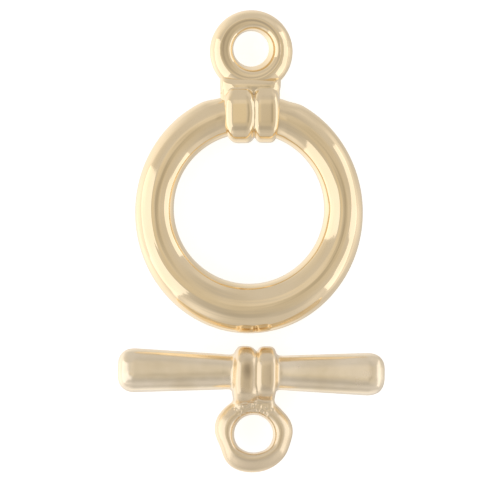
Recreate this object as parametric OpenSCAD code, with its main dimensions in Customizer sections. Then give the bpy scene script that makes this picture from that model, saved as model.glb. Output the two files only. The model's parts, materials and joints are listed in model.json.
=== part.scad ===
// Toggle clasp in polished gold, its two castings laid unfastened on their backs.
// Seen from above, the ring half lies at the top (+Y) and the bar half below it.
// Origin: middle of the whole outline, on the surface that the castings rest on.

/* [Hoop] */
// Outside width of the hoop, left to right
hoop_w = 12.0; // [11:0.1:14]
// Outside height of the hoop, top to bottom
hoop_h = 12.75; // [11.8:0.05:14.5]
// Diameter of the round hole that the bar goes through
hole_d = 7.9; // [7:0.1:8.4]
// How far the hole sits above the middle of the outline
hole_rise = 0.2; // [0:0.05:0.35]
// Thickness of the hoop, front to back, at its top and sides
hoop_t = 2.15; // [1.8:0.05:2.5]
// Thickness of the hoop, front to back, at its heavy bottom
hoop_base_t = 2.6; // [2.2:0.05:2.8]

/* [Hoop collar] */
// Distance between the middles of the two ribs
ring_rib_pitch = 1.44; // [1.3:0.02:1.6]
// Width of one rib at its foot
ring_rib_w = 1.55; // [1.45:0.01:1.8]
// How far the ribs stand out of the tube into the hole
ring_rib_in = 0.53; // [0.3:0.01:0.7]
// How far the ribs stand out of the tube on the eyelet side
ring_rib_out = 0.11; // [0.05:0.01:0.3]
// Corner radius of a rib
ring_rib_round = 0.42; // [0.2:0.01:0.6]
// How far the collar sits to the right of the middle of the hoop
ring_collar_shift = 0.28; // [-0.4:0.01:0.4]

/* [Neck of the ring half] */
// Width of the neck under the eyelet
neck_w = 3.15; // [2.6:0.05:3.6]
// How much wider the neck gets on each side where it meets the hoop
neck_flare = 0.26; // [0.1:0.01:0.5]
// How far that flare reaches down from the top of the hoop
neck_shoulder = 0.5; // [0.2:0.05:0.8]
// Thickness of the neck, front to back
neck_t = 1.6; // [1.2:0.05:2]
// Height of the rolled bridge across the neck
bridge_h = 0.5; // [0.35:0.01:0.7]
// Thickness of the bridge, front to back
bridge_t = 2.1; // [1.8:0.05:2.4]

/* [Ring eyelet] */
// Outside diameter of the eyelet
ring_eye_d = 4.38; // [4:0.02:4.8]
// Thickness of the eyelet's rim, front to back
ring_eye_t = 1.75; // [1.5:0.05:2.1]
// Diameter of the step between the rim and the inner lip
ring_crease_d = 3.04; // [2.7:0.02:3.3]
// Thickness of the eyelet inside the step
ring_lip_t = 1.35; // [1.1:0.05:1.45]
// Diameter of the bore
ring_bore_d = 1.8; // [1.4:0.02:2.2]
// Length of the bore's straight wall
ring_land = 0.6; // [0.4:0.05:0.8]
// How far the eyelet's rim is sunk into the top of the hoop
ring_eye_sink = 0.11; // [0:0.01:0.3]
// How far the bore sits above the middle of the eyelet
ring_bore_rise = 0.1; // [0:0.01:0.2]
// How far the eyelet sits to the right of the middle of the hoop
ring_eye_shift = 0.12; // [-0.3:0.01:0.3]

/* [Bar] */
// Length of the bar
bar_len = 14.0; // [12:0.1:16]
// Diameter of the bar at its waist, beside the collar
bar_waist_d = 1.7; // [1.4:0.02:1.9]
// Diameter of the bar near its left end
bar_left_d = 2.33; // [2:0.01:2.6]
// Diameter of the bar near its right end
bar_right_d = 2.27; // [2:0.01:2.6]
// Corner radius of the bar's ends
bar_round = 0.85; // [0.4:0.01:0.95]
// How far the bar half is turned as it lies, degrees
bar_turn = -1; // [-5:0.5:5]

/* [Bar collar] */
// Distance between the middles of the two ribs
bar_rib_pitch = 1.16; // [1.05:0.01:1.3]
// Width of one rib at its foot
bar_rib_w = 1.31; // [1.25:0.01:1.5]
// How far the ribs stand out of the waist
bar_rib_proud = 0.53; // [0.4:0.01:0.7]
// Corner radius of a rib
bar_rib_round = 0.38; // [0.2:0.01:0.5]
// How far the collar sits to the right of the middle of the bar
bar_collar_shift = 0.27; // [-0.4:0.01:0.4]

/* [Bar eyelet] */
// Outside diameter of the eyelet
bar_eye_d = 4.1; // [3.7:0.02:4.5]
// Thickness of the eyelet, front to back
bar_eye_t = 1.5; // [1.2:0.05:1.8]
// Diameter of the bore
bar_bore_d = 1.96; // [1.5:0.02:2.3]
// Length of the bore's straight wall
bar_land = 0.5; // [0.3:0.05:0.7]
// Width of the neck between the collar and the eyelet
bar_neck_w = 2.2; // [1.8:0.05:2.6]
// Thickness of that neck, front to back
bar_neck_t = 1.4; // [1:0.05:1.7]
// How far the eyelet's rim is sunk into the ribs
bar_eye_sink = 0.16; // [0.05:0.01:0.3]
// How far the eyelet sits to the right of the middle of the bar
bar_eye_shift = 0.18; // [-0.3:0.01:0.3]

/* [Lay] */
// Gap between the two castings as they lie
lay_gap = 0.62; // [0.4:0.01:2]
// How far the hoop's middle lies to the left of the bar's middle
hoop_offset = 0.12; // [-0.5:0.01:0.5]

/* [Hidden] */
gold = [0.86, 0.77, 0.56];

// Turned shapes are round; the hoop is swept through this many sections of this many sides
$fn = 96;
hoop_sections = 72;
section_sides = 20;
arc_steps = 8;
// Width of the flat crest left between an eyelet's rim and its step
crest_flat = 0.05;

hole_r = hole_d / 2;
hoop_top = hoop_h / 2 - hole_rise;
hoop_bottom = -hoop_h / 2 - hole_rise;

// The tube where the collar clasps it, at the top of the hoop
tube_half = (hoop_top - hole_r) / 2;
tube_y = (hoop_top + hole_r) / 2;
ring_rib_r = tube_half + (ring_rib_in + ring_rib_out) / 2;
ring_rib_y = tube_y - (ring_rib_in - ring_rib_out) / 2;

ring_eye_r = ring_eye_d / 2;
ring_eye_y = hoop_top + ring_eye_r - ring_eye_sink;
ring_crease_r = ring_crease_d / 2;
// The bridge's upper edge touches the step
bridge_y = ring_eye_y + ring_bore_rise - ring_crease_r - bridge_h / 2;

bar_rib_r = bar_waist_d / 2 + bar_rib_proud;
bar_eye_r = bar_eye_d / 2;
bar_eye_y = -(bar_rib_r + bar_eye_r - bar_eye_sink);

// Where the two castings lie: both rest on z = 0 and the whole outline is centred on the origin
bar_below_ring = lay_gap + bar_rib_r - hoop_bottom;
whole_top = ring_eye_y + ring_eye_r;
whole_bottom = -bar_below_ring + bar_eye_y * cos(bar_turn) + bar_eye_shift * sin(bar_turn) - bar_eye_r;
ring_y = -(whole_top + whole_bottom) / 2;
bar_y = ring_y - bar_below_ring;
ring_z = max(ring_rib_r, hoop_base_t / 2);
bar_z = max(bar_rib_r, bar_left_d / 2, bar_right_d / 2);

// Points along an arc of an ellipse, from one angle to another
function arc(cx, cy, rx, ry, from, to) =
    [for (i = [0:arc_steps])
        let (a = from + (to - from) * i / arc_steps)
        [cx + rx * cos(a), cy + ry * sin(a)]];

// Points all the way round an ellipse
function oval(rx, ry) =
    [for (i = [0:4 * arc_steps - 1]) let (a = 90 * i / arc_steps) [rx * cos(a), ry * sin(a)]];

// The same points below the middle line, in reverse
function below(points) = [for (i = [len(points) - 1:-1:0]) [points[i][0], -points[i][1]]];

// Distance from the hole's middle to the hoop's oval outline, at an angle
function outline_r(a) =
    let (half_w = hoop_w / 2, half_h = hoop_h / 2)
    let (qa = pow(cos(a) / half_w, 2) + pow(sin(a) / half_h, 2))
    let (qb = 2 * sin(a) * hole_rise / pow(half_h, 2))
    let (qc = pow(hole_rise / half_h, 2) - 1)
    (-qb + sqrt(qb * qb - 4 * qa * qc)) / (2 * qa);

// Half the hoop's thickness at an angle: it swells smoothly towards the bottom
function half_t(a) = hoop_t / 2 + (hoop_base_t - hoop_t) / 2 * pow((1 - sin(a)) / 2, 2);

// One point of the hoop's surface: angle round the hoop, angle round the tube
function hoop_point(a, b) =
    let (mid = (outline_r(a) + hole_r) / 2, half_w = (outline_r(a) - hole_r) / 2)
    let (r = mid + half_w * cos(b))
    [r * cos(a), r * sin(a), half_t(a) * sin(b)];

module hoop() {
    points = [
        for (i = [0:hoop_sections - 1], j = [0:section_sides - 1])
        hoop_point(360 * i / hoop_sections, 360 * j / section_sides)
    ];
    faces = [
        for (i = [0:hoop_sections - 1], j = [0:section_sides - 1])
        let (i2 = (i + 1) % hoop_sections, j2 = (j + 1) % section_sides)
        [i * section_sides + j, i * section_sides + j2, i2 * section_sides + j2, i2 * section_sides + j]
    ];
    polyhedron(points, faces);
}

// A pair of turned ribs side by side on the X axis; their feet meet in a groove
module rib_pair(r, w, pitch, corner) {
    upper = arc(r - corner, w / 2 - corner, corner, corner, 0, 90);
    for (side = [-1, 1])
        translate([side * pitch / 2, 0, 0])
            rotate([0, 90, 0])
                rotate_extrude()
                    polygon(concat([[0, -w / 2]], below(upper), upper, [[0, w / 2]]));
}

// Body of an eyelet: a thick disc whose rim is rounded from its crest to its edge
module eyelet_body(r, t, crest_r) {
    rim = arc(crest_r, 0, r - crest_r, t / 2, 0, 90);
    rotate_extrude()
        polygon(concat([[0, -t / 2]], below(rim), rim, [[0, t / 2]]));
}

// What is cut out of an eyelet: a shallow step down to the lip, which rolls into the straight bore
module eyelet_cut(bore_r, land, step_r, lip_t, t) {
    lip = arc(step_r, land / 2, step_r - bore_r, (lip_t - land) / 2, 180, 90);
    upper = concat(lip, [[step_r, t], [0, t]]);
    rotate_extrude()
        polygon(concat(below(upper), upper));
}

// Neck that stands on the hoop and carries the eyelet
module neck() {
    shoulder_w = neck_w + 2 * neck_flare;
    shoulder_y = hoop_top - neck_shoulder;
    linear_extrude(height = neck_t, center = true)
        polygon([
            [-shoulder_w / 2, tube_y],
            [shoulder_w / 2, tube_y],
            [shoulder_w / 2, shoulder_y],
            [neck_w / 2, hoop_top],
            [neck_w / 2, bridge_y],
            [-neck_w / 2, bridge_y],
            [-neck_w / 2, hoop_top],
            [-shoulder_w / 2, shoulder_y]
        ]);
}

// Rolled bridge across the neck, between the eyelet and the collar
module bridge() {
    translate([0, bridge_y, 0])
        rotate([90, 0, 90])
            linear_extrude(height = neck_w, center = true)
                polygon(oval(bridge_h / 2, bridge_t / 2));
}

module toggle_ring() {
    crest_r = ring_crease_r + ring_bore_rise + crest_flat;
    color(gold)
        translate([-hoop_offset, ring_y, ring_z])
            difference() {
                union() {
                    hoop();
                    translate([ring_collar_shift, ring_rib_y, 0])
                        rib_pair(ring_rib_r, ring_rib_w, ring_rib_pitch, ring_rib_round);
                    translate([ring_eye_shift, 0, 0]) {
                        neck();
                        bridge();
                        translate([0, ring_eye_y, 0])
                            eyelet_body(ring_eye_r, ring_eye_t, crest_r);
                    }
                }
                translate([ring_eye_shift, ring_eye_y + ring_bore_rise, 0])
                    eyelet_cut(ring_bore_d / 2, ring_land, ring_crease_r, ring_lip_t, ring_eye_t);
            }
}

// The bar: two flared arms with rounded ends
module bar() {
    waist_r = bar_waist_d / 2;
    left_r = bar_left_d / 2;
    right_r = bar_right_d / 2;
    end = bar_len / 2 - bar_round;
    left_end = below(arc(left_r - bar_round, end, bar_round, bar_round, 0, 90));
    right_end = arc(right_r - bar_round, end, bar_round, bar_round, 0, 90);
    profile = concat(
        [[0, -bar_len / 2]], left_end, [[waist_r, bar_collar_shift]], right_end, [[0, bar_len / 2]]
    );
    rotate([0, 90, 0])
        rotate_extrude()
            polygon(profile);
}

module toggle_bar() {
    bore_r = bar_bore_d / 2;
    crest_r = (bar_eye_r + bore_r) / 2;
    color(gold)
        translate([0, bar_y, bar_z])
            rotate([0, 0, bar_turn])
                difference() {
                    union() {
                        bar();
                        translate([bar_collar_shift, 0, 0])
                            rib_pair(bar_rib_r, bar_rib_w, bar_rib_pitch, bar_rib_round);
                        translate([(bar_collar_shift + bar_eye_shift) / 2, bar_eye_y / 2, 0])
                            cube([bar_neck_w, -bar_eye_y, bar_neck_t], center = true);
                        translate([bar_eye_shift, bar_eye_y, 0])
                            eyelet_body(bar_eye_r, bar_eye_t, crest_r);
                    }
                    translate([bar_eye_shift, bar_eye_y, 0])
                        eyelet_cut(bore_r, bar_land, crest_r, bar_eye_t, bar_eye_t);
                }
}

toggle_ring();
toggle_bar();
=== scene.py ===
# %% [markdown]
# # A toggle clasp in polished gold
#
# A toggle clasp is two castings. The bar is passed through the hoop end first, and once it
# turns crosswise it can't slip back. Here both lie open on a pale table, seen from straight
# above. Each was poured in one go, so its hoop or bar, ribs, neck and eyelet run into each other
# with fillets and creases, and each casting becomes one object here.
#
# The CAD model comes first. It fixes the true size and place of both castings, so every number
# below is either read from it or is a size in millimetres beside it.

# %% Load the CAD frame
import json
from math import cos, exp, pi, radians, sin, sqrt, tan

import bmesh
import bpy
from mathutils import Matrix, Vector


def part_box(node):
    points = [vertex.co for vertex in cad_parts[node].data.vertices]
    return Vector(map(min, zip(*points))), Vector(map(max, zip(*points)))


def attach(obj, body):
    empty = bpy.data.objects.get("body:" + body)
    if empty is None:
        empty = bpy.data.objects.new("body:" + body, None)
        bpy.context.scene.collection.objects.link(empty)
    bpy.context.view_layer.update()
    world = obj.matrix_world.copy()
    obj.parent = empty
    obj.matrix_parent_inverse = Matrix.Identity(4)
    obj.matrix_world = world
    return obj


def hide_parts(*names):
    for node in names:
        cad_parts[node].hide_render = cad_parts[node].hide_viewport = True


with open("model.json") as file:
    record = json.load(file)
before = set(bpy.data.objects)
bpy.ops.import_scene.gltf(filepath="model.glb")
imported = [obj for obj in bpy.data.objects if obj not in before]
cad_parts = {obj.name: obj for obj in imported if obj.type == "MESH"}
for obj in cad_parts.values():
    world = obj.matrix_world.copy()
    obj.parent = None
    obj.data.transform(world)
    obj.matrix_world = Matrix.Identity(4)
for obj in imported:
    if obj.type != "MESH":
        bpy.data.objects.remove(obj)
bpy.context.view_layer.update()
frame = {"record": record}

# %% [markdown]
# ## Working in millimetres
#
# The castings are only 24 mm long. Blender's voxel tools don't go below a tenth of a millimetre
# when a unit is a metre, so the metal is modelled with one unit as one millimetre and shrunk a
# thousand times when it is finished. The frame's boxes are read in the same millimetres.

# %% Read the castings' places in millimetres
MM = 0.001


def node_box(node):
    """Lowest and highest corner of a CAD node, in millimetres."""
    low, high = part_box(node)
    return Vector(low) / MM, Vector(high) / MM


def mount_place(name):
    """Where a mount of the record is, in millimetres, and its bore's radius."""
    mount = next(m for m in frame["record"]["mounts"] if m["name"] == name)
    return Vector(mount["pos_m"]) / MM, mount["dims"]["r_mm"]


ring_low, ring_high = node_box("toggle_ring")
bar_low, bar_high = node_box("toggle_bar")
ring_eye, ring_bore_r = mount_place("ring_eye")
bar_eye, bar_bore_r = mount_place("bar_eye")
ring_z = ring_eye.z
bar_z = bar_eye.z
hoop_x = (ring_low.x + ring_high.x) / 2
print("ring bore", ring_bore_r, "bar bore", bar_bore_r, "hoop middle x", round(hoop_x, 3))

# %% [markdown]
# ## Helpers for modelling by hand
#
# Operators act on whatever is selected, and the frame's nodes start out selected. So each step
# begins by selecting one thing and nothing else. Vertices, edges and faces are picked in code by
# where they are or which way they face, as a hand would pick them by looking.

# %% Selecting and picking


def deselect_all():
    """Leaves edit mode with nothing selected."""
    if bpy.context.object and bpy.context.object.mode != "OBJECT":
        bpy.ops.object.mode_set(mode="OBJECT")
    bpy.ops.object.select_all(action="DESELECT")


def select_only(piece):
    """Leaves edit mode and selects one piece."""
    deselect_all()
    piece.select_set(True)
    bpy.context.view_layer.objects.active = piece


def edit(piece):
    """Opens one piece in edit mode."""
    select_only(piece)
    bpy.ops.object.mode_set(mode="EDIT")


def stop_edit():
    """Goes back to object mode."""
    bpy.ops.object.mode_set(mode="OBJECT")


def pick(piece, what, wanted):
    """In edit mode, selects the verts, edges or faces that wanted says yes to."""
    modes = {"verts": "VERT", "edges": "EDGE", "faces": "FACE"}
    bpy.ops.mesh.select_mode(type=modes[what])
    bpy.ops.mesh.select_all(action="DESELECT")
    mesh = bmesh.from_edit_mesh(piece.data)
    mesh.verts.index_update()
    found = [part for part in getattr(mesh, what) if wanted(part)]
    for part in found:
        part.select = True
    mesh.select_flush_mode()
    bmesh.update_edit_mesh(piece.data)
    return len(found)


# %% [markdown]
# ## Applying what is done
#
# A finished piece keeps its place in its mesh and carries no live modifiers, so what is measured
# later is what is seen. Each move and each modifier is applied as soon as it is made.

# %% Applying places and modifiers


def settle(piece):
    """Puts the piece's place into its mesh, so its object sits at the origin."""
    select_only(piece)
    bpy.ops.object.transform_apply(location=True, rotation=True, scale=True)


def finish_with(piece, kind, **settings):
    """Adds a modifier and applies it."""
    select_only(piece)
    modifier = piece.modifiers.new(kind.title(), kind)
    for key, value in settings.items():
        setattr(modifier, key, value)
    bpy.ops.object.modifier_apply(modifier=modifier.name)


def subdivide(piece, levels):
    """Rounds a piece by subdivision."""
    finish_with(piece, "SUBSURF", levels=levels, render_levels=levels)


def say(name, *pieces):
    """Prints how large pieces are, in millimetres."""
    print(name, [[round(v, 2) for v in piece.dimensions] for piece in pieces])


# %% [markdown]
# ## Loft
#
# The hoop, the bar's eyelet and the band on the neck swell and shrink along their way. A loft
# makes such shapes: it stands circles where the shape is measured and bridges each to the next.
# Subdivision rounds it afterwards. That draws every circle in a little, so circles that have to
# keep their size start larger.

# %% Loft


def grow(sides):
    """What a ring of points loses when it is subdivided, made up for."""
    return 3 / (2 + cos(2 * pi / sides))


def loft(name, rings, sides, closed):
    """Bridges circles one to the next. Each is its place, turn, half width and half height."""
    deselect_all()
    bpy.ops.mesh.primitive_circle_add(vertices=sides)
    piece = bpy.context.object
    piece.name = name
    edit(piece)
    bpy.ops.mesh.select_all(action="SELECT")
    bpy.ops.mesh.delete(type="VERT")
    for place, turn, half_w, half_t in rings:
        bpy.ops.mesh.primitive_circle_add(vertices=sides, radius=half_w, location=place, rotation=turn)
        if half_t != half_w:
            bpy.ops.transform.resize(value=(1, 1, half_t / half_w), center_override=place)
    for i in range(len(rings) if closed else len(rings) - 1):
        pair = (i, (i + 1) % len(rings))
        pick(piece, "verts", lambda v: v.index // sides in pair)
        bpy.ops.mesh.bridge_edge_loops(type="SINGLE")
    if not closed:
        bpy.ops.mesh.select_all(action="SELECT")
        bpy.ops.mesh.fill_holes(sides=0)
    bpy.ops.mesh.select_all(action="SELECT")
    bpy.ops.mesh.normals_make_consistent(inside=False)
    stop_edit()
    return piece


# %% [markdown]
# ## Soft pulls
#
# Cast and filed metal is never quite even. Proportional editing moves or scales a few vertices
# and lets all within reach follow smoothly, which gives each shape its last uneven touch.

# %% Pull, squeeze and stand
SOFT = {"use_proportional_edit": True, "proportional_edit_falloff": "SMOOTH"}


def drag(piece, wanted, move, reach):
    """Moves some vertices and lets all within reach follow."""
    edit(piece)
    pick(piece, "verts", wanted)
    bpy.ops.transform.translate(value=move, proportional_size=reach, **SOFT)
    stop_edit()


def squeeze(piece, wanted, scale, centre, reach):
    """Scales some vertices about a place and lets all within reach follow."""
    edit(piece)
    pick(piece, "verts", wanted)
    bpy.ops.transform.resize(value=scale, center_override=centre, proportional_size=reach, **SOFT)
    stop_edit()


def stand(piece, place, lean=0, turn=0):
    """Leans and turns a piece and puts it in its place."""
    piece.location = place
    piece.rotation_euler = (0, lean, turn)
    settle(piece)


# %% [markdown]
# ## Pillow
#
# The ribs and necks start as boxes. A pillow is a box that is cut across where its rounding
# starts: subdivision then leaves it flat between the cuts and rounds it from each cut to the
# edge.

# %% Pillow


def corners(span_x, span_y, half_t):
    """Two opposite corners of a box whose middle height is zero."""
    return (span_x[0], span_y[0], -half_t), (span_x[1], span_y[1], half_t)


def pillow(name, low, high, cuts_x=(), cuts_y=(), cuts_z=()):
    """A box between two corners with cuts across X, Y and Z, ready to be subdivided."""
    low, high = Vector(low), Vector(high)
    deselect_all()
    bpy.ops.mesh.primitive_cube_add(size=1, location=(low + high) / 2, scale=high - low)
    piece = bpy.context.object
    piece.name = name
    settle(piece)
    edit(piece)
    for normal, places in (((1, 0, 0), cuts_x), ((0, 1, 0), cuts_y), ((0, 0, 1), cuts_z)):
        for place in places:
            bpy.ops.mesh.select_all(action="SELECT")
            bpy.ops.mesh.bisect(plane_co=(place, place, place), plane_no=normal)
    stop_edit()
    return piece


# %% [markdown]
# ## Rib
#
# A rib is a box whose long edges and rims are bevelled wide, as if a fat ring had been pressed
# into the wax. Cuts across its face let that face bend. Its ends may then be drawn narrower, and
# the middle of the face may be crowned.

# %% Rounding edges
# Faces across a rounding along a box and across a rim, and the profile of a quarter circle
LONG_FACES = 8
RIM_FACES = 6
QUARTER = 0.5
# Places nearer to each other than this are the same
NEAR = 0.001


def along_x(edge):
    """Whether an edge runs along X."""
    first, second = edge.verts
    return abs(first.co.x - second.co.x) > NEAR


def round_over(piece, wanted, offset, faces):
    """Bevels the edges that wanted says yes to."""
    pick(piece, "edges", wanted)
    bpy.ops.mesh.bevel(offset=offset, segments=faces, profile=QUARTER, affect="EDGES")


# %% Rib
# Where a rib is cut across, from its middle, as shares of half its length
RIB_CUTS = (-0.6, -0.3, 0, 0.3, 0.6)
# Where a rib's end starts and how far its narrowing reaches, as shares of half its length
END_FROM = 0.94
END_REACH = 0.9
# Half the length of the crowned middle and how far the crown reaches, as such shares too
CROWN_HALF = 0.35
CROWN_REACH = 0.75
# Half the width of the line that is crowned
CROWN_LINE = 0.05


def rib(name, low, high, long_round, left_rim, right_rim, narrow=1, crown=1):
    """A box rounded over its long edges and both rims, drawn narrower at its ends and crowned."""
    middle = (Vector(high) + Vector(low)) / 2
    half_y = (high[1] - low[1]) / 2
    face_x = (low[0] + left_rim + high[0] - right_rim) / 2
    piece = pillow(name, low, high)
    edit(piece)
    round_over(piece, along_x, long_round, LONG_FACES)
    round_over(piece, lambda e: all(v.co.x < low[0] + NEAR for v in e.verts), left_rim, RIM_FACES)
    round_over(piece, lambda e: all(v.co.x > high[0] - NEAR for v in e.verts), right_rim, RIM_FACES)
    for share in RIB_CUTS:
        bpy.ops.mesh.select_all(action="SELECT")
        bpy.ops.mesh.bisect(plane_co=(0, middle.y + half_y * share, 0), plane_no=(0, 1, 0))
    bpy.ops.mesh.select_all(action="SELECT")
    bpy.ops.mesh.bisect(plane_co=(face_x, 0, 0), plane_no=(1, 0, 0))
    stop_edit()
    if narrow < 1:
        for side in (-1, 1):
            squeeze(
                piece, lambda v: (v.co.y - middle.y) * side > half_y * END_FROM,
                (narrow, 1, 1), (middle.x, middle.y, 0), half_y * END_REACH,
            )
    if crown > 1:
        squeeze(
            piece,
            lambda v: abs(v.co.x - face_x) < CROWN_LINE and abs(v.co.y - middle.y) < half_y * CROWN_HALF,
            (1, 1, crown), middle, half_y * CROWN_REACH,
        )
    return piece


# %% [markdown]
# ## The hoop
#
# The hoop is a fat tube bent into a ring. Its outline is a slightly tall oval, its hole is
# round and sits a little high, so the tube is heaviest at the bottom, where a real one takes
# the pull. A torus has the same thickness all the way round, so the tube is lofted through
# circles that swell and shrink with the angle instead. The tube isn't quite round either: its
# inner side was filed steep, so the points there are pulled up and down from the middle. On both
# sides of the neck the outline dips a little, where a file cleaned up the joint.

# %% Circles of the hoop
# Height of the outline, radius of the hole, and how far above the outline's middle the hole is
HOOP_H = 12.75
HOLE_R = 3.95
HOLE_RISE = 0.2
# Thickness of the tube at the sides and at the bottom, from front to back
SIDE_T = 2.15
BASE_T = 2.6
TUBE_SIDES = 16

hoop_half_w = (ring_high.x - ring_low.x) / 2
hole_y = ring_low.y + HOOP_H / 2 + HOLE_RISE
hole = Vector((hoop_x, hole_y, ring_z))
print("hole", [round(v, 3) for v in hole], "half width of the hoop", round(hoop_half_w, 3))


def outline_r(angle):
    """Distance from the hole's middle to the oval outline, the root of a quadratic equation."""
    half_h = HOOP_H / 2
    square = (cos(angle) / hoop_half_w) ** 2 + (sin(angle) / half_h) ** 2
    linear = 2 * sin(angle) * HOLE_RISE / half_h ** 2
    constant = (HOLE_RISE / half_h) ** 2 - 1
    return (-linear + sqrt(linear * linear - 4 * square * constant)) / (2 * square)


def ring_round(centre, angle, inner, outer, half_t, sides):
    """A tube's circle at an angle round a hole, between its inner and outer radius."""
    middle = (outer + inner) / 2
    half_w = (outer - inner) / 2
    place = (centre.x + middle * cos(angle), centre.y + middle * sin(angle), centre.z)
    return place, (pi / 2, 0, angle), half_w * grow(sides), half_t * grow(sides)


def hoop_ring(angle):
    """The hoop's circle at an angle."""
    half_t = SIDE_T / 2 + (BASE_T - SIDE_T) / 2 * ((1 - sin(angle)) / 2) ** 2
    return ring_round(hole, angle, HOLE_R, outline_r(angle), half_t, TUBE_SIDES)


# %% Loft the hoop
HOOP_RINGS = 48
# Points of a circle on its inner side, and how much farther from the middle they go
STEEP_INSIDE = [((2, 6), 1.05), ((3, 5), 1.3)]
# Where the hoop's outline meets the neck, how far it dips there, and what the dip takes along
NECK_CORNERS = [(-1.62, 7.72), (1.6, 7.65)]
DIP = 0.13
DIP_FROM = 0.3
DIP_REACH = 1.0

hoop = loft("hoop", [hoop_ring(2 * pi * i / HOOP_RINGS) for i in range(HOOP_RINGS)], TUBE_SIDES, True)
edit(hoop)
for places, taller in STEEP_INSIDE:
    pick(hoop, "verts", lambda v: v.index % TUBE_SIDES in places)
    bpy.ops.transform.resize(value=(1, 1, taller), center_override=(0, 0, ring_z))
stop_edit()
subdivide(hoop, 2)
for corner in NECK_CORNERS:
    drag(hoop, lambda v: (v.co.xy - Vector(corner)).length < DIP_FROM, (0, -DIP, 0), DIP_REACH)
say("hoop", hoop)

# %% [markdown]
# ## The collar on the hoop
#
# Two fat ribs wrap the tube where the eyelet stands on it. They look like rings pushed onto the
# tube, yet in the wax they were only pressed in beside each other, so each is a bevelled box
# that gets narrower towards its ends. They overlap, and the groove is where their rims cross.
# The left one leans outwards and so takes light from the side, and its belly pushes the groove
# into a bow.

# %% Two ribs on the hoop
# Where each rib starts and ends, from left to right and from the hole to the eyelet
LEFT_RIB_X = (-1.38, 0.33)
LEFT_RIB_Y = (5.16, 8.24)
RIGHT_RIB_X = (0.03, 1.49)
RIGHT_RIB_Y = (5.18, 8.24)
# How much thinner each rib is than the whole casting, front and back
LEFT_INSET = 0.1
RIGHT_INSET = 0.13
# How wide the long edges and each rib's two rims are rounded, and how narrow the ends get
RIB_ROUND = 1.05
LEFT_RIMS = (0.55, 0.5)
RIGHT_RIMS = (0.42, 0.42)
NARROW = 0.78
LEFT_LEAN = radians(-5.5)
RIGHT_LEAN = radians(0.5)
# Where the belly is along the groove, how far it comes out, and what it takes along
BELLY_Y = 6.69
BELLY = 0.08
BELLY_FROM = 0.1
BELLY_REACH = 1.1

rib_t = (ring_high.z - ring_low.z) / 2


def lean_over(piece, span_x, lean):
    """Leans a rib of the ring about its own middle and stands it on the tube."""
    stand(piece, (0, 0, ring_z + sum(span_x) / 2 * sin(lean)), lean)


ring_rib_left = rib(
    "ring_rib_left", *corners(LEFT_RIB_X, LEFT_RIB_Y, rib_t - LEFT_INSET),
    RIB_ROUND, *LEFT_RIMS, NARROW,
)
drag(
    ring_rib_left, lambda v: v.co.x > 0 and abs(v.co.y - BELLY_Y) < BELLY_FROM,
    (BELLY, 0, 0), BELLY_REACH,
)
lean_over(ring_rib_left, LEFT_RIB_X, LEFT_LEAN)
ring_rib_right = rib(
    "ring_rib_right", *corners(RIGHT_RIB_X, RIGHT_RIB_Y, rib_t - RIGHT_INSET),
    RIB_ROUND, *RIGHT_RIMS, NARROW,
)
lean_over(ring_rib_right, RIGHT_RIB_X, RIGHT_LEAN)
say("ring ribs", ring_rib_left, ring_rib_right)

# %% [markdown]
# ## The neck and its bridge
#
# A short wide stem joins hoop and eyelet. A rolled band lies across it and hides where the
# ribs end. The band is lofted through ovals along its length, because its two ends differ: the
# left one slopes away slowly and catches the light from the side, and the right one is blunt.

# %% Neck and bridge of the ring half
# Where the neck starts and ends, half its thickness, and how wide its edges are rounded
NECK_X = (-1.62, 1.5)
NECK_Y = (6.7, 8.45)
NECK_T = 0.86
NECK_ROUND = 0.2
NECK_RIMS = (0.7, 0.45)
# Place along the band and across it, half width and half height there
BRIDGE_ROLL = [
    (-1.64, 8.27, 0.50, 0.30),
    (-1.58, 8.25, 0.58, 0.52),
    (-1.46, 8.22, 0.62, 0.68),
    (-1.30, 8.20, 0.63, 0.79),
    (-1.12, 8.18, 0.64, 0.87),
    (-0.90, 8.16, 0.63, 0.93),
    (-0.60, 8.15, 0.62, 0.96),
    (0.00, 8.14, 0.62, 0.97),
    (0.70, 8.13, 0.59, 0.97),
    (1.00, 8.11, 0.56, 0.95),
    (1.25, 8.12, 0.54, 0.87),
    (1.41, 8.20, 0.52, 0.70),
    (1.50, 8.30, 0.42, 0.50),
    (1.56, 8.36, 0.30, 0.30),
]
BRIDGE_SIDES = 16

neck = rib("neck", *corners(NECK_X, NECK_Y, NECK_T), NECK_ROUND, *NECK_RIMS)
stand(neck, (0, 0, ring_z))
bridge = loft(
    "bridge", [((x, y, 0), (pi / 2, 0, pi / 2), half_w, half_t) for x, y, half_w, half_t in BRIDGE_ROLL],
    BRIDGE_SIDES, False,
)
subdivide(bridge, 2)
stand(bridge, (0, 0, ring_z))
say("neck and bridge", neck, bridge)

# %% [markdown]
# ## The eyelet of the ring half
#
# The eyelet is a thick ring. A shallow crease runs round its face, inside that is a low lip,
# and the lip rolls into a bore that leans and narrows. One circle is extruded again and again,
# from the outer edge over the rim and the crease down into the bore. Each new edge is scaled to
# its radius and may sit off centre, because the real bore was drilled a little askew. The mirror
# modifier makes the underside.

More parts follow.
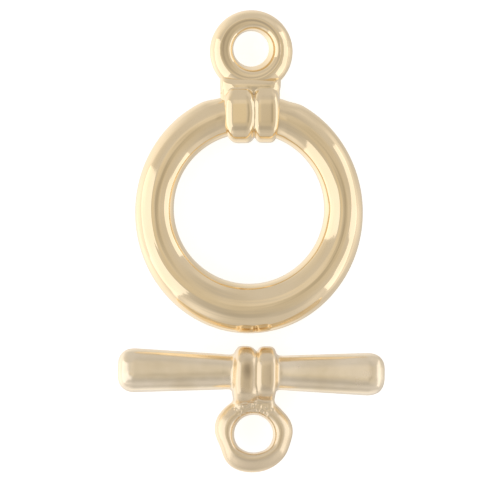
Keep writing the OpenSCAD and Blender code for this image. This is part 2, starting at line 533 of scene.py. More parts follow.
# %% Eyelet of the ring half
# Radius, height over the middle, and shift right and up
EYELET_FACE = [
    (2.19, 0.0, -0.02, 0.0),
    (2.155, 0.26, -0.02, 0.0),
    (2.02, 0.515, -0.02, 0.02),
    (1.82, 0.70, -0.02, 0.06),
    (1.68, 0.785, -0.02, 0.08),
    (1.62, 0.80, -0.01, 0.09),
    (1.56, 0.795, 0.0, 0.09),
    (1.50, 0.78, 0.0, 0.09),
    (1.43, 0.772, 0.02, 0.09),
    (1.35, 0.768, 0.06, 0.08),
    (1.26, 0.75, 0.09, 0.07),
    (1.15, 0.66, 0.09, 0.07),
    (1.085, 0.57, 0.085, 0.075),
    (1.03, 0.44, 0.07, 0.085),
    (0.97, 0.22, 0.02, 0.12),
    (0.91, 0.0, -0.034, 0.147),
]
EYELET_SIDES = 64

eye_x = ring_eye.x
eyelet_y = ring_high.y - EYELET_FACE[0][0]
radius, height, right, up = EYELET_FACE[0]
deselect_all()
bpy.ops.mesh.primitive_circle_add(vertices=EYELET_SIDES, radius=radius)
eyelet = bpy.context.object
eyelet.name = "ring_eyelet"
edit(eyelet)
bpy.ops.mesh.select_all(action="SELECT")
for new_radius, new_height, new_right, new_up in EYELET_FACE[1:]:
    step = (new_right - right, new_up - up, new_height - height)
    bpy.ops.mesh.extrude_region_move(TRANSFORM_OT_translate={"value": step})
    share = new_radius / radius
    bpy.ops.transform.resize(value=(share, share, 1), center_override=(new_right, new_up, new_height))
    radius, height, right, up = new_radius, new_height, new_right, new_up
bpy.ops.mesh.select_all(action="SELECT")
bpy.ops.mesh.normals_make_consistent(inside=False)
stop_edit()
finish_with(eyelet, "MIRROR", use_axis=(False, False, True))
subdivide(eyelet, 2)
stand(eyelet, (eye_x, eyelet_y, ring_z))
say("eyelet", eyelet)

# %% [markdown]
# ## Casting the ring half
#
# Ribs, neck and bridge run into each other. Voxel remesh walks over the joined shapes and keeps
# only the outside, which is a union without any boolean trouble, and smoothing melts the
# crossing lines into small fillets, the way wax and polishing do. The hoop and the eyelet keep
# their clean rings of faces: where they meet the collar the real clasp has sharp creases too.

# %% Joining, casting and melting
# Share of the way to its neighbours' middle that a vertex goes in one pass of smoothing
SMOOTHING = 0.5


def together(name, shapes):
    """Joins shapes into one object."""
    select_only(shapes[0])
    for shape in shapes[1:]:
        shape.select_set(True)
    bpy.ops.object.join()
    shapes[0].name = name
    return shapes[0]


def cast(name, shapes, voxel, passes):
    """Fuses shapes into one smooth skin."""
    whole = together(name, shapes)
    finish_with(whole, "REMESH", mode="VOXEL", voxel_size=voxel, adaptivity=0)
    finish_with(whole, "SMOOTH", factor=SMOOTHING, iterations=passes)
    return whole


def melt(piece, where, passes):
    """Smooths only the vertices for which where says yes."""
    edit(piece)
    count = pick(piece, "verts", lambda v: where(v.co))
    bpy.ops.mesh.vertices_smooth(factor=SMOOTHING, repeat=passes)
    stop_edit()
    return count


# %% Cast the ring half
RING_VOXEL = 0.036
RING_PASSES = 12
# The line where ribs and bridge meet is smoothed again: its place, half width and passes
MEET_Y = 8.03
MEET_HALF = 0.22
MEET_PASSES = 4

collar = cast("ring_collar", [ring_rib_left, ring_rib_right, neck, bridge], RING_VOXEL, RING_PASSES)
melted = melt(collar, lambda co: abs(co.y - MEET_Y) < MEET_HALF, MEET_PASSES)
print("collar", len(collar.data.polygons), "faces,", melted, "vertices melted again")
ring_half = together("ring_casting", [hoop, collar, eyelet])
print("ring half", len(ring_half.data.polygons), "faces")

# %% [markdown]
# ## Hollows of the ring half
#
# The gold is painted darker in the grooves of the casting, as painted shade where the metal
# turns in. So each vertex stores how hollow the metal is there, and the gold is darkened by that
# further on. Dirty vertex colours measure it: they compare a vertex's normal with the way to its
# neighbours.

# %% Mark the hollows
# Angle from a vertex's normal to its neighbours, 90 degrees where the metal is flat: where a
# hollow starts to count, and where it counts in full
HOLLOW_FROM = radians(87)
HOLLOW_FULL = radians(76)


def mark_hollows(piece):
    """Stores on each vertex how hollow the metal is there, from 0 in a crease to 1 elsewhere."""
    select_only(piece)
    bpy.ops.geometry.color_attribute_add(
        name="hollow", domain="POINT", data_type="FLOAT_COLOR", color=(1, 1, 1, 1)
    )
    bpy.ops.paint.vertex_color_dirt(
        blur_strength=1, blur_iterations=1, clean_angle=HOLLOW_FROM, dirt_angle=HOLLOW_FULL,
        dirt_only=False, normalize=False,
    )


# The hollows only steer the painted shade in the ring's gold
mark_hollows(ring_half)
shades = [shade.color[0] for shade in ring_half.data.color_attributes["hollow"].data]
print("hollow at", sum(shade < 0.5 for shade in shades), "of", len(shades), "vertices")

# %% [markdown]
# ## The bar
#
# The bar flares from a waist beside the collar to blunt, rounded ends, so it can't creep back
# through the hoop. Its face was filed rather flat. So it starts as a box: it is bisected at the
# waist, the cut is drawn in, and all other edges are bevelled wide. As a loose piece it lies a
# degree off level and rolled a little away from the viewer.

# %% Place of the bar
BAR_TURN = radians(-1)
# Where the eyelet's bore is, right of the bar's middle and below it
BAR_EYE_X = 0.18
BAR_EYE_DROP = 3.25

bar_middle = Vector(((bar_low.x + bar_high.x) / 2, 0, bar_z))
bar_middle.y = bar_eye.y + BAR_EYE_DROP * cos(BAR_TURN) - BAR_EYE_X * sin(BAR_TURN)
bar_len = bar_high.x - bar_low.x
print("bar", round(bar_len, 2), "long, its middle at", [round(v, 3) for v in bar_middle])


def on_bar(x, y, z=0):
    """A place measured along and across the bar, turned as the bar lies."""
    cosine, sine = cos(BAR_TURN), sin(BAR_TURN)
    return bar_middle + Vector((x * cosine - y * sine, x * sine + y * cosine, z))


# %% Shape the bar
BAR_ROLL = radians(-9)
# Where the collar is along the bar, and the half thickness there and at both ends
BAR_COLLAR_X = 0.27
WAIST_R = 0.85
LEFT_R = 1.165
RIGHT_R = 1.135
# How wide its edges are rounded
BAR_ROUND = 0.82
# How near to the cut a vertex counts as being on it, and how squarely an end face looks along X
AT_CUT = 0.01
SQUARELY = 0.9

deselect_all()
bpy.ops.mesh.primitive_cube_add(size=1, scale=(bar_len, 2 * LEFT_R, 2 * LEFT_R))
bar = bpy.context.object
bar.name = "bar"
settle(bar)
edit(bar)
pick(bar, "faces", lambda f: f.normal.x > SQUARELY)
bpy.ops.transform.resize(value=(1, RIGHT_R / LEFT_R, RIGHT_R / LEFT_R))
bpy.ops.mesh.select_all(action="SELECT")
bpy.ops.mesh.bisect(plane_co=(BAR_COLLAR_X, 0, 0), plane_no=(1, 0, 0))
waist_share = WAIST_R / ((LEFT_R + RIGHT_R) / 2)
pick(bar, "verts", lambda v: abs(v.co.x - BAR_COLLAR_X) < AT_CUT)
bpy.ops.transform.resize(value=(1, waist_share, waist_share), center_override=(BAR_COLLAR_X, 0, 0))
round_over(
    bar, lambda e: max(abs(v.co.x - BAR_COLLAR_X) for v in e.verts) > AT_CUT, BAR_ROUND, LONG_FACES,
)
stop_edit()
bar.rotation_euler.x = BAR_ROLL
settle(bar)
bar.location = bar_middle
bar.rotation_euler.z = BAR_TURN
settle(bar)
say("bar", bar)

# %% [markdown]
# ## Collar and neck of the bar
#
# The bar's own collar is a smaller pair of ribs. Their boxes are a little flatter than the ribs,
# and the crown brings the middle of each face out to the full thickness. The left one is longer:
# it runs on down into the neck and gets thinner there.

# %% Ribs of the bar
# Half the collar's thickness at the crown, and how much thicker the crown makes a flat box
BAR_RIB_T = 1.38
CROWN = 1.05
# Where each rib starts and ends along the bar, its lower end, and how wide its rims are rounded
LEFT_BAR_RIB_X = (-1.01, 0.43)
LEFT_BAR_RIB_LOW = -2.0
LEFT_BAR_RIMS = (0.46, 0.6)
RIGHT_BAR_RIB_X = (0.2, 1.38)
RIGHT_BAR_RIB_LOW = -1.52
RIGHT_BAR_RIMS = (0.36, 0.34)
# How wide the long edges are rounded, and how narrow the ends get
BAR_RIB_ROUND = 0.95
BAR_NARROW = 0.82
BAR_LEAN = radians(4)
# Where the long rib's tail starts, how thin it gets and how far up that reaches
TAIL_Y = -1.8
TAIL_THIN = 0.68
TAIL_REACH = 1.1

flat_t = BAR_RIB_T / CROWN
bar_rib_left = rib(
    "bar_rib_left", *corners(LEFT_BAR_RIB_X, (LEFT_BAR_RIB_LOW, BAR_RIB_T), flat_t),
    BAR_RIB_ROUND, *LEFT_BAR_RIMS, BAR_NARROW, CROWN,
)
squeeze(bar_rib_left, lambda v: v.co.y < TAIL_Y, (1, 1, TAIL_THIN), (0, 0, 0), TAIL_REACH)
bar_rib_right = rib(
    "bar_rib_right", *corners(RIGHT_BAR_RIB_X, (RIGHT_BAR_RIB_LOW, BAR_RIB_T), flat_t),
    BAR_RIB_ROUND, *RIGHT_BAR_RIMS, BAR_NARROW, CROWN,
)
stand(bar_rib_left, bar_middle, BAR_LEAN, BAR_TURN)
stand(bar_rib_right, bar_middle, 0, BAR_TURN)
say("bar ribs", bar_rib_left, bar_rib_right)

# %% Neck of the bar
# Where the neck starts and ends along the bar and below it, and half its thickness
BAR_NECK_X = (-0.79, 1.23)
BAR_NECK_Y = (-2.0, -0.3)
BAR_NECK_T = 0.7
# How far from its sides, its ends and its faces the neck's rounding starts
BAR_NECK_ROUND = (0.4, 0.3, 0.35)

neck_spans = (BAR_NECK_X, BAR_NECK_Y, (-BAR_NECK_T, BAR_NECK_T))
neck_cuts = [(span[0] + inset, span[1] - inset) for span, inset in zip(neck_spans, BAR_NECK_ROUND)]
bar_neck = pillow("bar_neck", *corners(BAR_NECK_X, BAR_NECK_Y, BAR_NECK_T), *neck_cuts)
subdivide(bar_neck, 4)
stand(bar_neck, bar_middle, 0, BAR_TURN)
say("bar neck", bar_neck)

# %% [markdown]
# ## The eyelet of the bar
#
# Below the collar hangs a plain fat ring that came out of its mould uneven. It is lofted like
# the hoop, and a few nudges push its outline out or in. Its crest lies nearer the hole, so the
# top and bottom of every circle are drawn inwards, most of all at the lower end.

# %% Circles of the bar's eyelet
# Outer radius before the nudges, thickness, and radius of the hole
BAR_EYE_R = 2.03
BAR_EYE_T = 1.5
BAR_HOLE_R = 1.02
BAR_EYE_SIDES = 12
# Degrees round the hole, how far out, and how many degrees wide
NUDGES = [
    (155, 0.09, 24),
    (201, -0.17, 17),
    (238, 0.07, 22),
    (345, -0.05, 14),
    (9, 0.07, 18),
    (43, -0.06, 16),
]


def bar_eye_outline(angle):
    """The uneven outline's distance from the hole's middle."""
    radius = BAR_EYE_R
    for degrees, out, wide in NUDGES:
        away = (angle - radians(degrees) + pi) % (2 * pi) - pi
        radius += out * exp(-((away / radians(wide)) ** 2))
    return radius


def bar_eye_ring(angle):
    """The bar eyelet's circle at an angle."""
    return ring_round(bar_eye, angle, BAR_HOLE_R, bar_eye_outline(angle), BAR_EYE_T / 2, BAR_EYE_SIDES)


# %% Loft the bar's eyelet
BAR_EYE_RINGS = 40
# Where the crest starts as a share of the thickness, and how far it is drawn to the hole
CREST_FROM = 0.4
CREST_IN = 0.93
# How far below the hole's middle the crest is pushed up, by how much, and how far that reaches
CREST_LOW = 1.05
CREST_UP = 0.17
CREST_REACH = 0.7


def on_crest(vertex):
    """Whether a vertex is at the top or the bottom of its circle."""
    return abs(vertex.co.z - bar_z) > BAR_EYE_T * CREST_FROM


bar_eyelet = loft(
    "bar_eyelet", [bar_eye_ring(2 * pi * i / BAR_EYE_RINGS) for i in range(BAR_EYE_RINGS)],
    BAR_EYE_SIDES, True,
)
edit(bar_eyelet)
pick(bar_eyelet, "verts", on_crest)
bpy.ops.transform.resize(value=(CREST_IN, CREST_IN, 1), center_override=bar_eye)
stop_edit()
drag(
    bar_eyelet, lambda v: on_crest(v) and v.co.y < bar_eye.y - CREST_LOW,
    (0, CREST_UP, 0), CREST_REACH,
)
subdivide(bar_eyelet, 2)
say("bar eyelet", bar_eyelet)

# %% [markdown]
# ## Casting the bar half
#
# This half is softer than the other: its fillets are wider, and between collar and eyelet the
# metal is rough, where a sprue was cut off or the parts were run together. The vertices there
# are shaken a little and smoothed once more.

# %% Cast the bar half
BAR_VOXEL = 0.05
BAR_PASSES = 16
# The fillets to the arms: how far from the collar's middle they are, and their lowest place
ARM_FILLET = (1.0, 1.75)
ARM_FILLET_LOW = 1.3
# The fillet to the eyelet: its height over the bore's middle, and half its width
EYE_FILLET_UP = 1.6
EYE_FILLET_HALF = 0.55
FILLET_PASSES = 26

bar_half = cast(
    "bar_casting", [bar, bar_rib_left, bar_rib_right, bar_neck, bar_eyelet], BAR_VOXEL, BAR_PASSES,
)
collar_middle = on_bar(BAR_COLLAR_X, 0)


def on_arm_fillet(co):
    """Whether a place is where the collar runs into an arm."""
    away = abs(co.x - collar_middle.x)
    return ARM_FILLET[0] < away < ARM_FILLET[1] and co.y > bar_middle.y - ARM_FILLET_LOW


def on_eye_fillet(co):
    """Whether a place is where the collar runs into the eyelet."""
    return abs(co.y - (bar_eye.y + EYE_FILLET_UP)) < EYE_FILLET_HALF


for fillet in (on_arm_fillet, on_eye_fillet):
    print(melt(bar_half, fillet, FILLET_PASSES), "vertices melted again")

# %% Roughen the seam
# The rough seam: how far from the bore's middle, how steep its ends, how far from mid height
SEAM_OUT = (1.2, 1.75)
SEAM_STEEP = 1.2
SEAM_OFF = 0.4
# How far its vertices are shaken, and passes of smoothing after that
SHAKE = 0.07
SHAKE_SEED = 3
SHAKE_PASSES = 2


def on_seam(co):
    """Whether a place is on the rough band above the bar's eyelet."""
    away = Vector((co.x - bar_eye.x, co.y - bar_eye.y, 0))
    above = away.y > abs(away.x) * SEAM_STEEP
    return SEAM_OUT[0] < away.length < SEAM_OUT[1] and above and abs(co.z - bar_z) > SEAM_OFF


edit(bar_half)
shaken = pick(bar_half, "verts", lambda v: on_seam(v.co))
bpy.ops.transform.vertex_random(offset=SHAKE, uniform=0, normal=1, seed=SHAKE_SEED)
bpy.ops.mesh.vertices_smooth(factor=SMOOTHING, repeat=SHAKE_PASSES)
stop_edit()
print("bar half", len(bar_half.data.polygons), "faces,", shaken, "vertices shaken")

# %% [markdown]
# ## Shrink to real size and hand over
#
# Both castings go from millimetres to metres, ride on the part's one body and take the places
# of their CAD nodes.

# %% Finish both castings


def hand_over(piece, node):
    """Shrinks a casting to its real size and lets it stand for its CAD node."""
    piece.scale = (MM, MM, MM)
    settle(piece)
    bpy.ops.object.shade_smooth()
    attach(piece, "root")
    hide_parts(node)
    print(piece.name, "stands for", node, "at", [round(v / MM, 2) for v in piece.dimensions], "mm")


hand_over(ring_half, "toggle_ring")
hand_over(bar_half, "toggle_bar")

# %% [markdown]
# ## Small steps of node arithmetic
#
# Both golds and the sky are built from the same few steps: a sum or a product, how far a value
# is from a number, a soft change from one value to another, and a blend of two colours. Each
# step takes as its owner the material or the world whose nodes it adds to.

# %% Node arithmetic


def vector_maths(owner, operation, value, other=None, result="Vector"):
    """One step of arithmetic on a place or a direction."""
    step = owner.node_tree.nodes.new("ShaderNodeVectorMath")
    step.operation = operation
    owner.node_tree.links.new(value, step.inputs[0])
    if other is not None:
        step.inputs[1].default_value = other
    return step.outputs[result]


def maths(owner, operation, value, number):
    """One step of arithmetic, with a number or another node's value."""
    step = owner.node_tree.nodes.new("ShaderNodeMath")
    step.operation = operation
    owner.node_tree.links.new(value, step.inputs[0])
    if isinstance(number, (int, float)):
        step.inputs[1].default_value = number
    else:
        owner.node_tree.links.new(number, step.inputs[1])
    return step.outputs["Value"]


def away_from(owner, value, number):
    """How far a value is from a number, on either side."""
    return maths(owner, "ABSOLUTE", maths(owner, "SUBTRACT", value, number), 0)


def fade(owner, value, start, end, low, high):
    """Goes smoothly from low to high while the value goes from start to end."""
    step = owner.node_tree.nodes.new("ShaderNodeMapRange")
    step.interpolation_type = "SMOOTHSTEP"
    for socket, number in (("From Min", start), ("From Max", end), ("To Min", low), ("To Max", high)):
        step.inputs[socket].default_value = number
    owner.node_tree.links.new(value, step.inputs["Value"])
    return step.outputs["Result"]


# %% Blend of two colours


def blend(owner, share, first, second):
    """A blend of two colours, each a constant or another node's colour."""
    nodes, links = owner.node_tree.nodes, owner.node_tree.links
    step = nodes.new("ShaderNodeMix")
    step.data_type = "RGBA"
    links.new(share, step.inputs["Factor"])
    for socket, colour in ((step.inputs[6], first), (step.inputs[7], second)):
        if isinstance(colour, tuple):
            socket.default_value = (*colour, 1)
        else:
            links.new(colour, socket)
    return step.outputs[2]


# %% [markdown]
# ## Steps of a material
#
# Patterns are tied to where a point is on the piece, so they stay put when the piece moves. A
# later step of a gold goes over what the shader has so far: it blends a colour with the one that
# is there, or adds relief to the relief that is there.

# %% Places and noise


def place_mm(material):
    """Where the shaded point is, in millimetres."""
    where = material.node_tree.nodes.new("ShaderNodeTexCoord")
    return vector_maths(material, "MULTIPLY", where.outputs["Object"], (1 / MM, 1 / MM, 1 / MM))


def parts_of(material, value):
    """The X, Y and Z of a place or a direction."""
    step = material.node_tree.nodes.new("ShaderNodeSeparateXYZ")
    material.node_tree.links.new(value, step.inputs["Vector"])
    return step.outputs


def noise(material, scale, detail, where=None):
    """A noise fixed to the piece, or to another place that is given."""
    nodes, links = material.node_tree.nodes, material.node_tree.links
    step = nodes.new("ShaderNodeTexNoise")
    step.inputs["Scale"].default_value = scale
    step.inputs["Detail"].default_value = detail
    if where is None:
        where = nodes.new("ShaderNodeTexCoord").outputs["Object"]
    links.new(where, step.inputs["Vector"])
    return step


# %% Tones and relief
# Values of the cloud noise up to which the deep tone shows, and from which the light one does
DEEP_TO = 0.3
LIGHT_FROM = 0.6


def two_tones(material, deep, tint):
    """Clouds of a darker and a lighter tone."""
    nodes, links = material.node_tree.nodes, material.node_tree.links
    tones = nodes.new("ShaderNodeValToRGB")
    tones.color_ramp.elements[0].position = DEEP_TO
    tones.color_ramp.elements[0].color = (*deep, 1)
    tones.color_ramp.elements[1].position = LIGHT_FROM
    tones.color_ramp.elements[1].color = (*tint, 1)
    links.new(nodes["cloud"].outputs["Fac"], tones.inputs["Fac"])
    return tones.outputs["Color"]


def wear(material, colour):
    """Gives the shader its colour."""
    shader = material.node_tree.nodes["Principled BSDF"]
    material.node_tree.links.new(colour, shader.inputs["Base Color"])


def worn(material):
    """The colour that the shader has so far."""
    shader = material.node_tree.nodes["Principled BSDF"]
    return shader.inputs["Base Color"].links[0].from_socket


def relief(material, pattern, depth):
    """Raises the surface by a pattern, so many millimetres, over the relief it has so far."""
    nodes, links = material.node_tree.nodes, material.node_tree.links
    normal = nodes["Principled BSDF"].inputs["Normal"]
    bump = nodes.new("ShaderNodeBump")
    bump.inputs["Strength"].default_value = 1.0
    bump.inputs["Distance"].default_value = depth * MM
    links.new(pattern, bump.inputs["Height"])
    if normal.is_linked:
        links.new(normal.links[0].from_socket, bump.inputs["Normal"])
    links.new(bump.outputs["Normal"], normal)


# %% [markdown]
# ## Polished gold
#
# Pale 14 carat gold, polished to a mirror. A mirror shows whatever stands round it, so most of
# its look comes from the studio. The metal itself adds its warm tint, a slight softness of the
# reflections, and the faint waves that polishing leaves in a casting. The bar's gold is softer
# and wavier than the ring's.

# %% Gold of both halves
RING_TINT = (0.95, 0.80, 0.57)
RING_DEEP = (0.92, 0.765, 0.525)
RING_ROUGH = 0.07
RING_WAVE = 0.008
BAR_TINT = (0.90, 0.765, 0.57)
BAR_DEEP = (0.84, 0.70, 0.505)
BAR_ROUGH = 0.22
BAR_WAVE = 0.045
# Scale and detail of each noise: clouds of tone, haze on the polish, and waves
CLOUD = (420, 3)
HAZE = (1500, 4)
WAVES = (700, 1)
# Least and most roughness, as shares of a gold's own
HAZE_SPREAD = (0.7, 1.5)


def gold(name, tint, deep, roughness, wave):
    """A polished gold with faint waves and a darker tone in places."""
    material = bpy.data.materials.new(name)
    material.use_nodes = True
    nodes, links = material.node_tree.nodes, material.node_tree.links
    shader = nodes["Principled BSDF"]
    shader.inputs["Metallic"].default_value = 1.0
    noise(material, *CLOUD).name = "cloud"
    wear(material, two_tones(material, deep, tint))
    rough = nodes.new("ShaderNodeMapRange")
    rough.inputs["To Min"].default_value = roughness * HAZE_SPREAD[0]
    rough.inputs["To Max"].default_value = roughness * HAZE_SPREAD[1]
    links.new(noise(material, *HAZE).outputs["Fac"], rough.inputs["Value"])
    links.new(rough.outputs["Result"], shader.inputs["Roughness"])
    relief(material, noise(material, *WAVES).outputs["Fac"], wave)
    return material


ring_gold = gold("ring_gold", RING_TINT, RING_DEEP, RING_ROUGH, RING_WAVE)
bar_gold = gold("bar_gold", BAR_TINT, BAR_DEEP, BAR_ROUGH, BAR_WAVE)
for half, metal in ((ring_half, ring_gold), (bar_half, bar_gold)):
    half.data.materials.clear()
    half.data.materials.append(metal)
    print(metal.name, "on", half.name, "with", len(metal.node_tree.nodes), "nodes")

# %% [markdown]
# ## Painted shade in the creases of the ring half
#
# The groove between the ribs and the crease round the eyelet are painted darker, as painted
# shade where the metal turns in. The stored hollows find the first, and a thin circle drawn round
# the eyelet marks the second.

# %% Painted shade in the creases
# Colour of the painted shade in the creases, and also of the dull spot on the bar
STAIN_AND_SHADE = (0.56, 0.46, 0.33)
# Radius of the crease, how far above the eyelet's middle it is, half its width, how dark its shade
CREASE_R = 1.5
CREASE_UP = 0.09
CREASE_W = 0.09
CREASE_SHADE = 0.6

# Painted shade: the gold is blended to a dark colour in the hollows and in a circle on the eyelet's
# crease
stored = ring_gold.node_tree.nodes.new("ShaderNodeVertexColor")
stored.layer_name = "hollow"
ring_place = vector_maths(ring_gold, "MULTIPLY", place_mm(ring_gold), (1, 1, 0))
from_eyelet = vector_maths(ring_gold, "DISTANCE", ring_place, (eye_x, eyelet_y + CREASE_UP, 0), "Value")
bright = fade(ring_gold, away_from(ring_gold, from_eyelet, CREASE_R), 0, CREASE_W, 1 - CREASE_SHADE, 1)
bright = maths(ring_gold, "MULTIPLY", stored.outputs["Color"], bright)
wear(ring_gold, blend(ring_gold, bright, STAIN_AND_SHADE, worn(ring_gold)))
print("dull crease at", CREASE_R, "mm round the ring's eyelet")

# %% [markdown]
# ## Polishing lines round the hoop
#
# The hoop was polished by turning it against the wheel, which leaves shallow lines that run
# round it. They are a noise that hardly changes along the hoop and changes fast across it: its
# first two coordinates are the direction from the hole's middle, its third the distance. The
# ribs and the eyelet were polished by hand, so the lines stop short of them.

# %% Polishing lines
# How fast the noise changes along the hoop and across it, its scale and detail, and its depth
LINE_LONG = 1.1
LINE_FINE = 3.6
LINE_NOISE = (1, 1)
LINE_DEEP = 0.03
# Where the lines come in beside the collar, and below it
COLLAR_EDGE = (1.45, 1.9)
COLLAR_BOTTOM = (4.7, 5.1)

from_hole = vector_maths(ring_gold, "SUBTRACT", ring_place, (hole.x, hole.y, 0))
distance = vector_maths(ring_gold, "LENGTH", from_hole, result="Value")
heading = parts_of(ring_gold, vector_maths(ring_gold, "NORMALIZE", from_hole))
lane = ring_gold.node_tree.nodes.new("ShaderNodeCombineXYZ")
for axis, value, scale in (
    ("X", heading["X"], LINE_LONG), ("Y", heading["Y"], LINE_LONG), ("Z", distance, LINE_FINE),
):
    ring_gold.node_tree.links.new(maths(ring_gold, "MULTIPLY", value, scale), lane.inputs[axis])
lines = noise(ring_gold, *LINE_NOISE, lane.outputs["Vector"])
ring_spot = parts_of(ring_gold, ring_place)
beside = fade(ring_gold, away_from(ring_gold, ring_spot["X"], 0), *COLLAR_EDGE, 0, 1)
below = fade(ring_gold, ring_spot["Y"], *COLLAR_BOTTOM, 1, 0)
lined = maths(ring_gold, "MAXIMUM", beside, below)
relief(ring_gold, maths(ring_gold, "MULTIPLY", lines.outputs["Fac"], lined), LINE_DEEP)
print("polishing lines", LINE_DEEP, "mm deep")

# %% [markdown]
# ## Painted sheen on the arms of the bar
#
# The bar's arms are painted a paler, greyer gold than its collar and eyelet: a painted sheen,
# where they mirror brighter light. The collar's left rib has one dull spot on its face, a shallow
# pit of the casting that holds old polish.

# %% Painted sheen on the arms, and a dull spot
# Paler and deeper tone of the painted sheen on the arms
ARM_SHEEN_TINT = (1.0, 0.89, 0.72)
ARM_SHEEN_DEEP = (0.88, 0.76, 0.57)
# Where the painted sheen comes in beside the collar, and over the lowest place of the arms
ARM_SHEEN_FROM = (1.05, 1.5)
ARM_SHEEN_BOTTOM = (-1.5, -1.1)
# Where the pit is along and across the bar and how high, its radius, and how dull it is
PIT = (-0.2, 0.15, 1.35)
PIT_R = 0.42
PIT_DULL = 0.95
# The pit is longer along the rib than across it
PIT_SQUEEZE = Vector((1, 0.6, 1))

bar_place = place_mm(bar_gold)
bar_spot = parts_of(bar_gold, bar_place)
# Painted sheen: the arms are painted a paler, greyer gold than the rest of the bar
beside = fade(bar_gold, away_from(bar_gold, bar_spot["X"], collar_middle.x), *ARM_SHEEN_FROM, 0, 1)
above = fade(bar_gold, bar_spot["Y"], bar_middle.y + ARM_SHEEN_BOTTOM[0], bar_middle.y + ARM_SHEEN_BOTTOM[1], 0, 1)
sheen_on_arms = maths(bar_gold, "MULTIPLY", beside, above)
sheened_arms = blend(bar_gold, sheen_on_arms, worn(bar_gold), two_tones(bar_gold, ARM_SHEEN_DEEP, ARM_SHEEN_TINT))
squeezed = vector_maths(bar_gold, "MULTIPLY", bar_place, PIT_SQUEEZE)
from_pit = vector_maths(bar_gold, "DISTANCE", squeezed, on_bar(*PIT) * PIT_SQUEEZE, "Value")
wear(bar_gold, blend(bar_gold, fade(bar_gold, from_pit, 0, PIT_R, PIT_DULL, 0), sheened_arms, STAIN_AND_SHADE))
print("dull spot at", [round(v, 2) for v in on_bar(*PIT)])

# %% [markdown]
# ## Table, camera and light
#
# The table is plain and pale. Like a sheet over a light box it gives off a little light of its
# own, and the metal doesn't mirror it, so it stays a plain ground. The camera looks straight
# down through a long lens. Two light panels stand left and right, the left one taller, and a
# soft grey sky fills in from above: they are the wide cream bands and the tan middles in the
# metal.

# %% Table
# Side of the table in metres
TABLE_SIZE = 1.6
TABLE_COLOUR = (0.84, 0.86, 0.885, 1)
TABLE_ROUGH = 0.9
TABLE_GLOW = 0.62

deselect_all()
bpy.ops.mesh.primitive_plane_add(size=TABLE_SIZE, location=(0, 0, 0))
table = bpy.context.object
table.name = "table"
white = bpy.data.materials.new("table_white")
white.use_nodes = True
surface = white.node_tree.nodes["Principled BSDF"]
surface.inputs["Base Color"].default_value = TABLE_COLOUR
surface.inputs["Roughness"].default_value = TABLE_ROUGH
surface.inputs["Emission Color"].default_value = (1, 1, 1, 1)
surface.inputs["Emission Strength"].default_value = TABLE_GLOW
table.data.materials.append(white)
table.visible_glossy = False

# %% Camera straight above
IMAGE = 500
# Millimetres that a pixel covers, and the pixel over the origin
PX = 0.0525
MIDDLE_PX = (251.25, 241.5)
LENS = 300
SENSOR = 36
CLIP_START = 0.01

camera_data = bpy.data.cameras.new("camera")
camera_data.lens = LENS
camera_data.sensor_width = SENSOR
camera_data.clip_start = CLIP_START
camera = bpy.data.objects.new("camera", camera_data)
bpy.context.scene.collection.objects.link(camera)
frame_w = IMAGE * PX * MM
camera.location = (
    (IMAGE / 2 - MIDDLE_PX[0]) * PX * MM,
    (MIDDLE_PX[1] - IMAGE / 2) * PX * MM,
    frame_w * LENS / SENSOR + ring_z * MM,
)
bpy.context.scene.camera = camera
print("camera", [round(v, 4) for v in camera.location])

# %% Light panels
# How far the panels stand from the clasp, in metres
PANEL_AWAY = 0.2
# Name, degrees round from +X, half its width and all its height in degrees as the clasp sees
# it, and radiance
PANELS = [
    ("left_panel", 191, 34.5, 65, 0.5),
    ("right_panel", -2, 38.5, 33.5, 0.5),
]


def panel_power(size, radiance):
    """Watts that give a rectangular light a radiance."""
    return radiance * pi * size[0] * size[1]


def standing_panel(name, azimuth, half_angle, top_angle, radiance):
    """A panel that stands on the table, as wide and tall as its angles say."""
    width = 2 * PANEL_AWAY * tan(radians(half_angle))
    height = PANEL_AWAY * tan(radians(top_angle))
    data = bpy.data.lights.new(name, "AREA")
    data.shape = "RECTANGLE"
    data.size, data.size_y = width, height
    data.energy = panel_power((width, height), radiance)
    lamp = bpy.data.objects.new(name, data)
    bpy.context.scene.collection.objects.link(lamp)
    angle = radians(azimuth)
    lamp.location = (PANEL_AWAY * cos(angle), PANEL_AWAY * sin(angle), height / 2)
    lamp.rotation_euler = Vector((-cos(angle), -sin(angle), 0)).to_track_quat("-Z", "Y").to_euler()
    lamp.visible_camera = False
    print(name, round(width, 3), "x", round(height, 3), "m,", round(data.energy, 3), "W")


for panel in PANELS:
    standing_panel(*panel)

# %% [markdown]
# The grey sky isn't even. A studio has a dark camera overhead, a dim side and a bright side, and
# each leaves a soft stripe in the metal. The sky is one tone, and patches in it add or take
# away light. A few more patches make it warmer, and the same steps as for the golds build it.

# %% Patches of the sky
SKY_BASE = 0.66
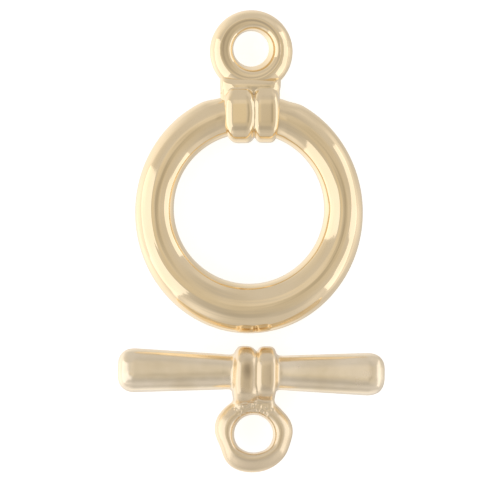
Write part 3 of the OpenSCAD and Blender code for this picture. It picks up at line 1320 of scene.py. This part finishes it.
# Degrees round from +X, degrees down from overhead, how wide, and how much light
SKY_PATCHES = [
    (5, 12, 0.30, -0.2),
    (0, 34, 0.26, 0.05),
    (262, 33, 0.62, -0.17),
    (70, 46, 0.40, -0.09),
    (120, 16, 0.36, 0.12),
    (180, 14, 0.22, 0.05),
    (243, 62, 0.40, 0.1),
    (145, 95, 0.75, 0.22),
    (300, 50, 0.30, -0.08),
    (60, 80, 0.45, 0.09),
    (236, 72, 0.34, 0.22),
    (314, 74, 0.36, 0.13),
    (190, 125, 1.2, 0.66),
    (330, 98, 0.42, 0.3),
    (0, 98, 0.42, 0.3),
    (30, 96, 0.42, 0.34),
    (350, 115, 0.6, 0.1),
    (0, 125, 0.5, 0.08),
    (268, 90, 0.3, -0.12),
    (275, 132, 0.6, 0.3),
    (105, 137, 0.85, 0.27),
]
# The same, with how much warmer the light is
WARM_PATCHES = [
    (0, 15, 0.9, 0.8),
    (150, 70, 0.7, 0.4),
    (180, 14, 0.25, 0.9),
]
SKY_PALE = (1.0, 0.955, 0.90)
SKY_WARM = (1.0, 0.90, 0.72)
print("sky of", len(SKY_PATCHES), "patches of light and", len(WARM_PATCHES), "of warmth")

# %% Sky
world = bpy.data.worlds.new("studio")
bpy.context.scene.world = world
world.use_nodes = True
look = world.node_tree.nodes.new("ShaderNodeTexCoord").outputs["Generated"]


def toward(azimuth, polar):
    """The direction at an angle round the horizon and an angle down from overhead."""
    turn, drop = radians(azimuth), radians(polar)
    return (sin(drop) * cos(turn), sin(drop) * sin(turn), cos(drop))


def patch(azimuth, polar, radius, amount):
    """Light added (or taken, where negative) round a direction."""
    gap = vector_maths(world, "DISTANCE", look, toward(azimuth, polar), "Value")
    return fade(world, gap, 0, radius, amount, 0)


def add_up(patches, start):
    """Adds patches to a starting number."""
    total = start
    for row in patches:
        total = maths(world, "ADD", patch(*row), total)
    return total


background = world.node_tree.nodes["Background"]
sky_tone = blend(world, add_up(WARM_PATCHES, 0.0), SKY_PALE, SKY_WARM)
world.node_tree.links.new(sky_tone, background.inputs["Color"])
world.node_tree.links.new(add_up(SKY_PATCHES, SKY_BASE), background.inputs["Strength"])
bpy.context.scene.view_settings.view_transform = "Standard"
print("sky built of", len(world.node_tree.nodes), "nodes")
